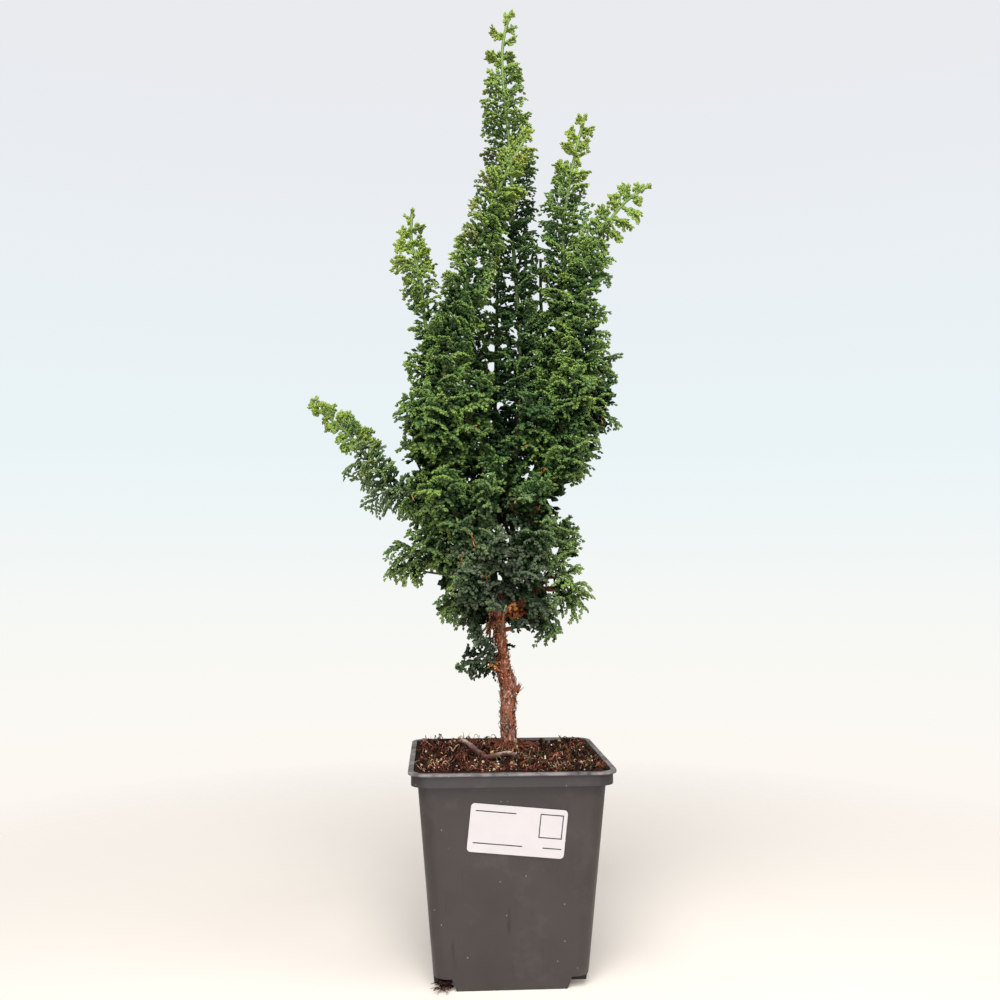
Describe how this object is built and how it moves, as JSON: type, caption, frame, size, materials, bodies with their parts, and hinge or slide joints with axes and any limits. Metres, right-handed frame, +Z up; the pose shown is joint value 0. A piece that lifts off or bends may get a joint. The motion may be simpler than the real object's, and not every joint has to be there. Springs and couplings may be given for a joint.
{
  "type": "potted bonsai conifer",
  "caption": "Small hinoki cypress bonsai with upright flame-shaped shoots on a thin bare trunk, planted in a square black plastic nursery pot.",
  "frame": {"origin": "middle of the pot's foot, on the surface that the pot stands on", "axes": "+Z up along the tree, -Y towards the pot's labelled front, +X to the right as the front is faced"},
  "size_m": [0.1981, 0.1137, 0.5551],
  "materials": {
    "pot_plastic": "matte, dusty and scuffed",
    "label_paper": "matte paper",
    "soil": "loose, fibrous peat",
    "root_bark": "rough bark",
    "bark": "rough, flaking bark",
    "foliage": "waxy scale leaves"
  },
  "bodies": {
    "root": {"branch_low_left": "foliage", "label": "label_paper", "leader_back": "foliage", "leader_back_centre": "foliage", "leader_back_right": "foliage", "leader_centre": "foliage", "leader_front": "foliage", "leader_left": "foliage", "leader_outer_right": "foliage", "leader_right": "foliage", "pot": "pot_plastic", "soil": "soil", "spray_back_1": "foliage", "spray_back_10": "foliage", "spray_back_2": "foliage", "spray_back_3": "foliage", "spray_back_4": "foliage", "spray_back_5": "foliage", "spray_back_6": "foliage", "spray_back_7": "foliage", "spray_back_8": "foliage", "spray_back_9": "foliage", "spray_front_1": "foliage", "spray_front_10": "foliage", "spray_front_11": "foliage", "spray_front_12": "foliage", "spray_front_13": "foliage", "spray_front_14": "foliage", "spray_front_2": "foliage", "spray_front_3": "foliage", "spray_front_4": "foliage", "spray_front_5": "foliage", "spray_front_6": "foliage", "spray_front_7": "foliage", "spray_front_8": "foliage", "spray_front_9": "foliage", "spray_hanging_left": "foliage", "spray_left_1": "foliage", "spray_left_2": "foliage", "spray_left_3": "foliage", "spray_left_4": "foliage", "spray_left_5": "foliage", "spray_left_6": "foliage", "spray_left_7": "foliage", "spray_low_back": "foliage", "spray_low_left": "foliage", "spray_middle_1": "foliage", "spray_middle_2": "foliage", "spray_right_1": "foliage", "spray_right_2": "foliage", "spray_right_3": "foliage", "spray_right_4": "foliage", "spray_right_5": "foliage", "spray_right_6": "foliage", "spray_right_7": "foliage", "spray_right_8": "foliage", "spray_right_9": "foliage", "surface_root": "root_bark", "trunk_and_limbs": "bark"}
  },
  "joints": []
}
